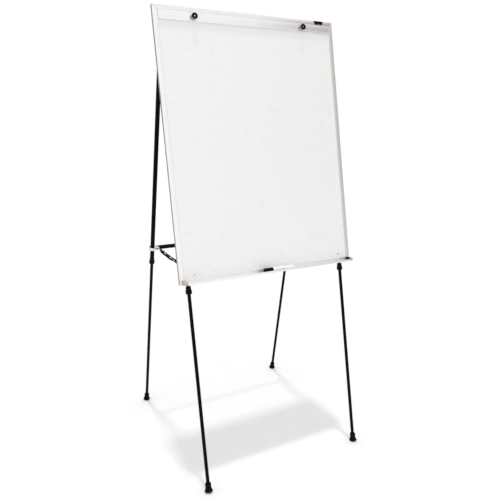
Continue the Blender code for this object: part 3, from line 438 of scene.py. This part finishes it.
def eased(profile, amount, closed=True):
    """Round the corners of an outline by about amount, never past half of an edge."""
    reach = 0.45
    steps = 3
    points = []
    count = len(profile)
    for index, corner in enumerate(profile):
        here = Vector(corner)
        if not closed and index in (0, count - 1):
            points.append(here)
            continue
        before = Vector(profile[index - 1]) - here
        after = Vector(profile[(index + 1) % count]) - here
        start = here + before.normalized() * min(amount, before.length * reach)
        end = here + after.normalized() * min(amount, after.length * reach)
        for step in range(steps + 1):
            t = step / steps
            points.append(start * (1 - t) ** 2 + here * 2 * t * (1 - t) + end * t ** 2)
    return [tuple(point) for point in points]


def flute_depth(flutes, angle, height):
    """How deep a grip flute is at a point. Flutes is (count, depth, low end, high end)."""
    count, depth, low, high = flutes
    if not low < height < high:
        return 0
    steepness = 2.5
    fade = min(1, steepness * math.sin(math.pi * (height - low) / (high - low)))
    return depth * fade * (0.5 - 0.5 * math.cos(count * angle))


def turned(bm, profile, segments, closed=True, flutes=None):
    """Turn (radius, height) points about z, with grip flutes in the rim if they are given."""
    rings = []
    for radius, height in profile:
        if radius < SAME_PLACE:
            rings.append([bm.verts.new((0, 0, height))])
            continue
        ring = []
        for step in range(segments):
            angle = 2 * math.pi * step / segments
            reach = radius - (flute_depth(flutes, angle, height) if flutes else 0)
            ring.append(bm.verts.new((reach * math.cos(angle), reach * math.sin(angle), height)))
        rings.append(ring)
    pairs = list(zip(rings, rings[1:]))
    if closed:
        pairs.append((rings[-1], rings[0]))
    for ring, other in pairs:
        for step in range(segments):
            following = (step + 1) % segments
            if len(ring) == 1:
                bm.faces.new((ring[0], other[step], other[following]))
            elif len(other) == 1:
                bm.faces.new((ring[step], ring[following], other[0]))
            else:
                bm.faces.new((ring[step], ring[following], other[following], other[step]))


def turned_piece(node, profile, matrix, material, ease, segments=64, ring=True):
    """Piece turned about its own z. A ring profile closes on itself, others start and end at 0."""
    bm = bmesh.new()
    turned(bm, eased(profile, ease, ring), segments, ring)
    stand_for(finish_piece(f"{node}_shape", bm, matrix, (material,)), node)


def loft(bm, start, end):
    """Join two outlines of the same number of points into one closed shape."""
    low = [bm.verts.new(point) for point in start]
    high = [bm.verts.new(point) for point in end]
    bm.faces.new(low)
    bm.faces.new(high)
    for index in range(len(start)):
        following = (index + 1) % len(start)
        bm.faces.new((low[index], low[following], high[following], high[index]))


def prism(bm, outline, axis, start, end):
    """Extrude an outline along X or Z. Its two values fill the other axes in order."""
    places = {"X": lambda point, value: (value, *point), "Z": lambda point, value: (*point, value)}
    place = places[axis]
    loft(bm, [place(point, start) for point in outline], [place(point, end) for point in outline])


def block(bm, low, high):
    """Box between two corners."""
    outline = [(low[0], low[1]), (high[0], low[1]), (high[0], high[1]), (low[0], high[1])]
    prism(bm, outline, "Z", low[2], high[2])


def arc(centre, radius, start, end, steps):
    """Points on a round stretch of an outline, between two angles."""
    points = []
    for step in range(steps + 1):
        angle = start + (end - start) * step / steps
        points.append((centre[0] + radius * math.cos(angle), centre[1] + radius * math.sin(angle)))
    return points


def round_hole(bm, radius, reach, matrix):
    """Closed round plug about the matrix's z, used as a cutter."""
    old = len(bm.verts)
    turned(bm, [(0, -reach), (radius, -reach), (radius, reach), (0, reach)], 32, False)
    bm.verts.ensure_lookup_table()
    bmesh.ops.transform(bm, matrix=matrix, verts=bm.verts[old:])


def from_node(node, materials, ease, angle):
    """Finished copy of a CAD node in the board frame: welded, with its edges rounded."""
    bm = bmesh.new()
    bm.from_mesh(frame["nodes"][node].data)
    bmesh.ops.transform(bm, matrix=BOARD.inverted(), verts=bm.verts)
    bmesh.ops.remove_doubles(bm, verts=bm.verts, dist=SAME_PLACE)
    obj = finish_piece(f"{node}_shape", bm, BOARD, materials, angle)
    ease_edges(obj, ease, angle)
    stand_for(obj, node)
    return obj


# ---------------------------------------------------------------- board and frame

def rail_section(depth, face, back, wall):
    """Channel section of a rail: distance in from the board's edge, depth from its face."""
    groove = face * 0.76
    groove_top = 0.0007
    groove_floor = 0.0004
    groove_depth = 0.00022
    corner_radius = 0.0011
    lip_ease = 0.0003
    back_ease = 0.0004
    centre = (corner_radius, corner_radius)
    corner = arc(centre, corner_radius, math.pi, 1.5 * math.pi, 6)
    front = [
        (groove - groove_top, 0),
        (groove - groove_floor, groove_depth),
        (groove + groove_floor, groove_depth),
        (groove + groove_top, 0),
        (face - lip_ease, 0),
        (face, lip_ease),
        (face, wall),
    ]
    inside = [
        (wall, wall),
        (wall, depth - wall),
        (back, depth - wall),
        (back, depth - lip_ease),
        (back - lip_ease, depth),
        (back_ease, depth),
        (0, depth - back_ease),
    ]
    return corner + front + inside


def build_rails():
    """Two side rails whose outer walls take a dark aluminium as painted shade, and the top rail mitred between
    them.
    """
    low, high = span("side_rail_left", BOARD)
    top = span("top_rail", BOARD)[1].z
    sheet_front = span("writing_surface", BOARD)[0].y
    gap = top - high.z
    wall = sheet_front - gap
    depth = high.y - low.y
    face = high.x - low.x
    half = -low.x
    corners = local_points("side_rail_left", BOARD)
    rear_corners = [point for point in corners if point.y > high.y - 10 * SAME_PLACE]
    back = max(half - abs(point.x) for point in rear_corners)
    outer = half - 0.0003
    section = rail_section(depth, face, back, wall)
    for side in SIDES:
        node = f"side_rail_{side_name(side)}"
        bm = bmesh.new()
        start = [(side * (half - inset), y, low.z) for inset, y in section]
        end = [(side * (half - inset), y, top - inset - gap) for inset, y in section]
        loft(bm, start, end)
        bmesh.ops.recalc_face_normals(bm, faces=bm.faces)
        # The outer walls take the dark aluminium, which is painted shade.
        for polygon in bm.faces:
            if side * polygon.normal.x > 0.8 and abs(polygon.calc_center_median().x) > outer:
                polygon.material_index = 1
        stand_for(finish_piece(f"{node}_shape", bm, BOARD, ("rail_z", "rail_side_shade")), node)
    bm = bmesh.new()
    start = [(inset - half + gap, y, top - inset) for inset, y in section]
    end = [(half - inset - gap, y, top - inset) for inset, y in section]
    loft(bm, start, end)
    stand_for(finish_piece("top_rail_shape", bm, BOARD, ("rail_x",)), "top_rail")


def build_sheets():
    """The three sheets keep their plain CAD shape and only take a finished look."""
    looks = {
        "writing_surface": enamel_material(),
        "panel_core": core_material(),
        "panel_backing": backing_material(),
    }
    for node, material in looks.items():
        frame["nodes"][node].data.materials.clear()
        frame["nodes"][node].data.materials.append(material)


def build_catch():
    """The small fitting on the top rail keeps its CAD shape, with softened edges."""
    from_node("rail_catch", ("plastic",), 0.0004, SHARP_ANGLE)


def build_retainer():
    """Shallow trough with two drawn grooves along its face and a hole for each bolt."""
    low, high = span("retainer_bar", BOARD)
    wall = 0.0014
    groove = 0.0052
    top = 0.0008
    floor = 0.0004
    depth = 0.0003
    past = 0.01
    section = [(high.y, low.z), (low.y, low.z)]
    for centre in (low.z + groove, high.z - groove):
        section += [(low.y, centre - top), (low.y + depth, centre - floor)]
        section += [(low.y + depth, centre + floor), (low.y, centre + top)]
    section += [(low.y, high.z), (high.y, high.z)]
    bm = bmesh.new()
    prism(bm, eased(section, 0.0006), "X", low.x, high.x)
    bmesh.ops.recalc_face_normals(bm, faces=bm.faces)
    for polygon in bm.faces:
        if abs(polygon.normal.x) > 0.9:
            polygon.material_index = 1
    bar = finish_piece("retainer_bar_shape", bm, BOARD, ("bar", "sawn"))
    bm = bmesh.new()
    inside = Vector((wall, wall, wall))
    block(bm, low + inside, high - inside + Vector((0, past, 0)))
    carve(bar, bm)
    bm = bmesh.new()
    for side in SIDES:
        bolt_low, bolt_high = span(f"retainer_bolt_{side_name(side)}", BOARD)
        centre = (bolt_low + bolt_high) / 2
        hole = Matrix.Translation((centre.x, 0, centre.z)) @ Matrix.Rotation(math.pi / 2, 4, "X")
        round_hole(bm, BOLT_HOLE, past, hole)
    carve(bar, bm)
    stand_for(bar, "retainer_bar")


def build_bolt(side):
    """Domed bolt with a thread at its free end. Its tip takes the darker zinc as painted shade, for the shadow in
    the knob's bore.
    """
    node = f"retainer_bolt_{side_name(side)}"
    matrix, length, radius = axis_frame(node, BOARD_OUT)
    shank = radius * 0.43
    dome = 0.0026
    head = 0.0032
    pitch = 0.0008
    thread_depth = 0.00032
    chamfer = 0.0006
    profile = [(0, 0)]
    for angle in (20, 40, 60, 80):
        turn = math.radians(angle)
        profile.append((radius * math.sin(turn), dome * (1 - math.cos(turn))))
    profile += [(radius, dome), (radius, head), (shank, head)]
    thread = 0.0205
    while thread < length - 2 * chamfer:
        profile += [(shank, thread), (shank - thread_depth, thread + pitch / 2)]
        thread += pitch
    profile += [(shank, length - chamfer), (shank - chamfer, length), (0, length)]
    bm = bmesh.new()
    turned(bm, eased(profile, 0.0001, closed=False), 48, False)
    # Painted shade: the faces at the tip take the darker zinc.
    for polygon in bm.faces:
        if polygon.calc_center_median().z > length - pitch / 2:
            polygon.material_index = 1
    stand_for(finish_piece(f"{node}_shape", bm, matrix, ("zinc", "screw")), node)


def build_knob(side):
    """Thin round knob with a fluted rim, a dished face and a short hub behind."""
    node = f"retainer_knob_{side_name(side)}"
    matrix, length, radius = axis_frame(node, BOARD_OUT)
    hub = 0.0020
    hub_radius = 0.0062
    dish = 0.0012
    profile = [
        (BOLT_HOLE, length - dish),
        (radius * 0.52, length - dish * 0.8),
        (radius * 0.63, length - 0.0002),
        (radius * 0.71, length),
        (radius * 0.84, length - 0.0001),
        (radius * 0.94, length - 0.0006),
        (radius, length - 0.0014),
        (radius, hub + 0.0012),
        (radius * 0.96, hub + 0.0003),
        (radius * 0.86, hub),
        (hub_radius, hub),
        (hub_radius, 0),
        (BOLT_HOLE, 0),
    ]
    flutes = (20, 0.0005, hub + 0.0002, length - 0.0003)
    bm = bmesh.new()
    turned(bm, eased(profile, 0.0005), 120, True, flutes)
    stand_for(finish_piece(f"{node}_shape", bm, matrix, ("plastic",), 50), node)


# ---------------------------------------------------------------- tray and marker

def build_tray():
    """The tray's extrusion, eased also where its walls meet at a shallow angle."""
    from_node("marker_tray", ("tray",), 0.00035, 25)


def build_tray_end(side):
    """Moulded end in warm grey, with a black face towards the tray."""
    node = f"tray_end_{side_name(side)}"
    obj = from_node(node, ("grey", "plastic"), 0.0005, 25)
    for polygon in obj.data.polygons:
        if side * polygon.normal.x < -0.8:
            polygon.material_index = 1


def build_marker_cap():
    """Ribbed cap with a rounded closed end, hollow for the marker's nose."""
    matrix, length, radius = axis_frame("marker_cap", ACROSS, UPRIGHT)
    rib = 0.00035
    bore = 0.0062
    bore_end = 0.004
    profile = [(0, 0), (radius - 0.0016, 0), (radius - 0.0004, 0.0014), (radius, 0.0034)]
    place = 0.0060
    while place < length * 0.62:
        profile += [(radius, place), (radius - rib, place + 0.0005)]
        profile += [(radius - rib, place + 0.0011), (radius, place + 0.0016)]
        place += 0.0032
    profile += [(radius, length), (bore, length), (bore, bore_end), (0, bore_end)]
    turned_piece("marker_cap", profile, matrix, "plastic", 0.0003, ring=False)


def build_marker():
    """White barrel with a narrow nose and a plug at its end, and a fibre tip."""
    matrix, length, radius = axis_frame("marker_barrel", ACROSS, UPRIGHT)
    socket = 0.0023
    socket_end = 0.006
    nose = 0.0058
    shoulder = 0.0203
    groove = length - 0.010
    profile = [
        (0, socket_end),
        (socket, socket_end),
        (socket, 0),
        (0.0032, 0),
        (nose, 0.010),
        (nose, shoulder),
        (radius, shoulder),
        (radius, groove),
        (radius - 0.0004, groove + 0.0003),
        (radius - 0.0004, groove + 0.0009),
        (radius, groove + 0.0012),
        (radius, length - 0.001),
        (radius - 0.001, length),
        (0, length),
    ]
    turned_piece("marker_barrel", profile, matrix, "barrel", 0.0003, ring=False)
    matrix, length, radius = axis_frame("marker_tip", ACROSS, UPRIGHT)
    profile = [(0, 0), (radius * 0.5, 0.0003), (radius * 0.85, 0.0014), (radius, 0.003)]
    profile += [(radius, length), (0, length)]
    turned_piece("marker_tip", profile, matrix, "felt", 0.0002, 32, ring=False)


# ---------------------------------------------------------------- legs

def build_upper_tube(node, up):
    """Plain tube, open at both ends."""
    matrix, length, radius = axis_frame(node, up)
    profile = [(radius, length), (radius, 0), (radius - WALL, 0), (radius - WALL, length)]
    turned_piece(node, profile, matrix, "paint", 0.0003)


def build_lower_tube(node, up):
    """Slimmer tube with a bush at its top, which slides in the upper tube."""
    matrix, length, radius = axis_frame(node, up)
    slim = radius * SLIM_SHARE
    neck = length - 0.012
    profile = [
        (radius, length),
        (radius, neck),
        (slim, neck - 0.0015),
        (slim, 0),
        (slim - WALL, 0),
        (slim - WALL, length),
    ]
    turned_piece(node, profile, matrix, "paint", 0.0003)


def build_collar(node, up, tube_radius, inner_radius):
    """Twist ring with grip flutes, and a plain sleeve above it."""
    matrix, length, radius = axis_frame(node, up)
    inner_bore = inner_radius + CLEARANCE
    outer_bore = tube_radius + CLEARANCE
    ring = length * 0.6
    middle = ring / 2
    step = middle - CLEARANCE
    sleeve = radius * 0.841
    profile = [
        (sleeve - CLEARANCE, length),
        (sleeve, length - 0.0007),
        (sleeve, ring),
        (radius * 0.92, ring),
        (radius * 0.985, ring * 0.94),
        (radius, ring * 0.86),
        (radius, ring * 0.70),
        (radius, middle),
        (radius, ring * 0.30),
        (radius, ring * 0.16),
        (radius * 0.97, ring * 0.08),
        (radius * 0.90, ring * 0.025),
        (radius * 0.78, 0),
        (inner_bore, 0),
        (inner_bore, step),
        (outer_bore, step),
        (outer_bore, length),
    ]
    flutes = (16, 0.0007, ring * 0.10, ring * 0.90)
    bm = bmesh.new()
    turned(bm, eased(profile, 0.0004), 96, True, flutes)
    stand_for(finish_piece(f"{node}_shape", bm, matrix, ("plastic",), 50), node)


def build_foot(node, up, tube_radius):
    """Rubber foot: a collar at its top, a skirt that flares in steps, and a domed sole, whose
    ball touches the floor."""
    matrix, length, rim = axis_frame(node, up)
    ball = matrix.translation.z / (1 - Vector(up).normalized().z)
    bore = tube_radius + CLEARANCE
    bore_end = 0.012
    steps = 9
    profile = [(0, 0)]
    for step in range(1, steps + 1):
        turn = math.asin(0.94 * rim / ball) * step / steps
        profile.append((ball * math.sin(turn), ball * (1 - math.cos(turn))))
    profile += [
        (rim, 0.0033),
        (rim, 0.0043),
        (rim * 0.955, 0.0054),
        (rim * 0.87, 0.0074),
        (rim * 0.80, 0.0096),
        (rim * 0.785, 0.0104),
        (rim * 0.755, 0.0106),
        (rim * 0.755, 0.0116),
        (rim * 0.76, 0.0119),
        (rim * 0.725, 0.0150),
        (rim * 0.705, 0.0180),
        (rim * 0.70, 0.0203),
        (rim * 0.71, 0.0214),
        (rim * 0.74, 0.0220),
        (rim * 0.74, length - 0.0018),
        (rim * 0.71, length - 0.0006),
        (rim * 0.63, length),
        (bore, length),
        (bore, bore_end),
        (0, bore_end),
    ]
    turned_piece(node, profile, matrix, "rubber", 0.0004, 72, ring=False)


def build_legs(side):
    """The front and the rear leg of one side, from the tubes down to the feet."""
    name = side_name(side)
    for place in ("front", "rear"):
        up = JOINTS[f"{place}_leg_slide_{name}"]["axis"]
        upper = f"{place}_upper_tube_{name}"
        lower = f"{place}_lower_tube_{name}"
        build_upper_tube(upper, up)
        build_lower_tube(lower, up)
        tube_radius = axis_frame(upper, up)[2]
        inner_radius = axis_frame(lower, up)[2] * SLIM_SHARE
        build_collar(f"{place}_collar_{name}", up, tube_radius, inner_radius)
        build_foot(f"{place}_foot_{name}", up, inner_radius)


# ---------------------------------------------------------------- hinge, screws and rivets

def build_hinge_pin(side):
    """Pin with a low domed head on both ends."""
    node = f"hinge_pin_{side_name(side)}"
    matrix, length, radius = axis_frame(node, ACROSS, UPRIGHT)
    shank = radius * 0.5556
    head = 0.0022
    profile = [
        (0, 0),
        (radius * 0.5, 0.0001),
        (radius * 0.8, 0.0005),
        (radius, 0.0012),
        (radius, head),
        (shank, head),
        (shank, length - head),
        (radius, length - head),
        (radius, length - 0.0012),
        (radius * 0.8, length - 0.0005),
        (radius * 0.5, length - 0.0001),
        (0, length),
    ]
    turned_piece(node, profile, matrix, "zinc", 0.0003, 40, ring=False)


def build_screw(node, up):
    """Pan-head screw with a cross recess in its head."""
    matrix, length, radius = axis_frame(node, up)
    seat = length - 0.0020
    shank = radius * 0.5714
    profile = [
        (0, 0),
        (shank * 0.8, 0),
        (shank, 0.0006),
        (shank, seat),
        (radius, seat),
        (radius, seat + 0.0008),
        (radius * 0.86, seat + 0.0014),
        (radius * 0.6, seat + 0.0018),
        (0, length),
    ]
    bm = bmesh.new()
    turned(bm, eased(profile, 0.0002, closed=False), 40, False)
    obj = finish_piece(f"{node}_shape", bm, matrix, ("screw",))
    reach = radius * 0.55
    slit = radius * 0.12
    floor = length - 0.0012
    past = length + 0.001
    for half_x, half_y in ((reach, slit), (slit, reach)):
        bm = bmesh.new()
        block(bm, (-half_x, -half_y, floor), (half_x, half_y, past))
        carve(obj, bm)
    obj.data.set_sharp_from_angle(angle=math.radians(SHARP_ANGLE))
    stand_for(obj, node)


def build_rivet(node):
    """Domed rivet along X. Its head is on the side where the CAD rivet is wider."""
    matrix, length, radius = axis_frame(node, ACROSS, UPRIGHT)
    wide = [point.z for point in local_points(node, matrix) if point.x > radius * 0.9]
    if sum(wide) / len(wide) < length / 2:
        matrix, length, radius = axis_frame(node, (-1, 0, 0), UPRIGHT)
    head = 0.0014
    seat = length - head
    shank = radius * 0.55
    profile = [(0, 0), (shank * 0.8, 0), (shank, 0.0003), (shank, seat), (radius, seat)]
    for angle in (80, 60, 40, 20):
        turn = math.radians(angle)
        profile.append((radius * math.sin(turn), length - head * (1 - math.cos(turn)) * 0.999))
    profile.append((0, length))
    turned_piece(node, profile, matrix, "zinc", 0.0001, 40, ring=False)


def build_clip_rivet(side):
    """Rivet with a head on both ends, through the clip and the crossbar."""
    node = f"clip_rivet_{side_name(side)}"
    leg_up = Vector(JOINTS["rear_leg_slide_left"]["axis"])
    forward = Vector((0, -leg_up.z, leg_up.y)).normalized()
    matrix, length, radius = axis_frame(node, forward)
    shank = radius * 0.62
    back = 0.0012
    head = length - 0.0014
    profile = [
        (0, 0),
        (radius * 0.7, 0.0001),
        (radius * 0.95, 0.0006),
        (radius, back),
        (shank, back),
        (shank, head),
        (radius, head),
        (radius * 0.9, head + 0.0007),
        (radius * 0.6, head + 0.0012),
        (0, length),
    ]
    turned_piece(node, profile, matrix, "zinc", 0.0002, 40, ring=False)


def build_fasteners(side):
    """The screws, the pin and the rivets of one side."""
    name = side_name(side)
    build_screw(f"hinge_screw_{name}", BOARD_OUT)
    build_screw(f"bracket_screw_{name}", BOARD_OUT)
    build_hinge_pin(side)
    build_clip_rivet(side)
    for place in ("front", "middle", "rear"):
        build_rivet(f"brace_{place}_rivet_{name}")


# ---------------------------------------------------------------- pieces that keep their CAD shape

def build_crossbar():
    from_node("crossbar", ("paint",), 0.0004, 40)


def build_hinge_head(side):
    from_node(f"hinge_head_{side_name(side)}", ("plastic",), 0.0006, 40)


def build_metalwork(side):
    """The bracket, the brace's two links and the clip of one side."""
    name = side_name(side)
    from_node(f"front_bracket_{name}", ("paint",), 0.0003, 40)
    from_node(f"brace_front_link_{name}", ("paint",), 0.0004, 40)
    from_node(f"brace_rear_link_{name}", ("paint",), 0.0004, 40)
    from_node(f"rear_clip_{name}", ("zinc",), 0.0003, 40)


build_rails()
build_sheets()
build_catch()
build_retainer()
build_tray()
build_marker_cap()
build_marker()
build_crossbar()
for which in SIDES:
    build_bolt(which)
    build_knob(which)
    build_tray_end(which)
    build_legs(which)
    build_hinge_head(which)
    build_fasteners(which)
    build_metalwork(which)


# ---------------------------------------------------------------- floor, light and camera

FLOOR_GREY = (0.84, 0.84, 0.84)
SUN_STRENGTH = 0.85
SUN_WIDTH = 3.4         # degrees, which sets how soft the shadows are
SUN_TILT = 1.2          # degrees from straight overhead
CAMERA_SENSOR = 36.0    # mm
CAMERA_LENS = 36.189    # mm
CAMERA_PLACE = (-0.85578, -1.69543, 1.22012)
CAMERA_PITCH = 75.7266  # degrees up from straight down
CAMERA_TURN = -27.4643  # degrees about the upright axis


def build_floor():
    """Plain white studio floor with a barely visible grain."""
    half = 60.0
    bm = bmesh.new()
    corners = [(-half, -half), (half, -half), (half, half), (-half, half)]
    bm.faces.new([bm.verts.new((x, y, 0)) for x, y in corners])
    mesh = bpy.data.meshes.new("studio_floor")
    bm.to_mesh(mesh)
    bm.free()
    floor = bpy.data.objects.new("studio_floor", mesh)
    bpy.context.scene.collection.objects.link(floor)
    material, tree, shader = start_material("studio_floor_paint", FLOOR_GREY, 0.9, 0.0, 0.2)
    grain = ranged(tree, noise(tree, 4, 3), 0.3, 0.7, 0.0, 1.0)
    colour = colour_mix(tree, grain, (0.845, 0.845, 0.845), (0.855, 0.855, 0.855))
    tree.links.new(colour, shader.inputs["Base Color"])
    mesh.materials.append(material)


def build_world():
    """White studio with a dark area to the front right and a fainter one to the rear left, which
    the metal mirrors and the camera itself doesn't see. A patch is its direction, the cosines of
    the angles from there at which it starts and is full, and its depth."""
    world = bpy.data.worlds.new("studio")
    bpy.context.scene.world = world
    world.use_nodes = True
    tree = world.node_tree
    background = tree.nodes["Background"]
    place = tree.nodes.new("ShaderNodeTexCoord")
    shade = None
    patches = (
        ((0.79, -0.59, 0.24), 0.912, 0.943, 1.0),
        ((-0.42, 0.88, 0.1), 0.86, 0.99, 0.5),
    )
    for direction, edge, middle, depth in patches:
        facing = tree.nodes.new("ShaderNodeVectorMath")
        facing.operation = "DOT_PRODUCT"
        facing.inputs[1].default_value = Vector(direction).normalized()
        tree.links.new(place.outputs["Generated"], facing.inputs[0])
        patch = ranged(tree, facing.outputs["Value"], edge, middle, 0.0, depth)
        shade = patch if shade is None else combined(tree, "ADD", shade, patch)
    seen = tree.nodes.new("ShaderNodeLightPath")
    hidden = combined(tree, "SUBTRACT", 1.0, seen.outputs["Is Camera Ray"])
    shade = combined(tree, "MULTIPLY", shade, hidden)
    colour = colour_mix(tree, shade, (1.0, 1.0, 1.0), (0.08, 0.02, 0.01))
    tree.links.new(colour, background.inputs["Color"])
    background.inputs["Strength"].default_value = 1.0


def build_light():
    """Overhead light, wide enough to lay soft shadows under the easel."""
    light = bpy.data.lights.new("overhead", "SUN")
    light.energy = SUN_STRENGTH
    light.angle = math.radians(SUN_WIDTH)
    lamp = bpy.data.objects.new("overhead", light)
    lamp.rotation_euler = (math.radians(SUN_TILT), 0, 0)
    bpy.context.scene.collection.objects.link(lamp)


def build_camera():
    """Camera in front of the easel on its left, at the board's height, looking a little down."""
    camera = bpy.data.cameras.new("view")
    camera.sensor_width = CAMERA_SENSOR
    camera.lens = CAMERA_LENS
    eye = bpy.data.objects.new("view", camera)
    eye.location = CAMERA_PLACE
    eye.rotation_euler = (math.radians(CAMERA_PITCH), 0, math.radians(CAMERA_TURN))
    bpy.context.scene.collection.objects.link(eye)
    bpy.context.scene.camera = eye


build_floor()
build_world()
build_light()
build_camera()
bpy.context.scene.view_settings.view_transform = "Standard"
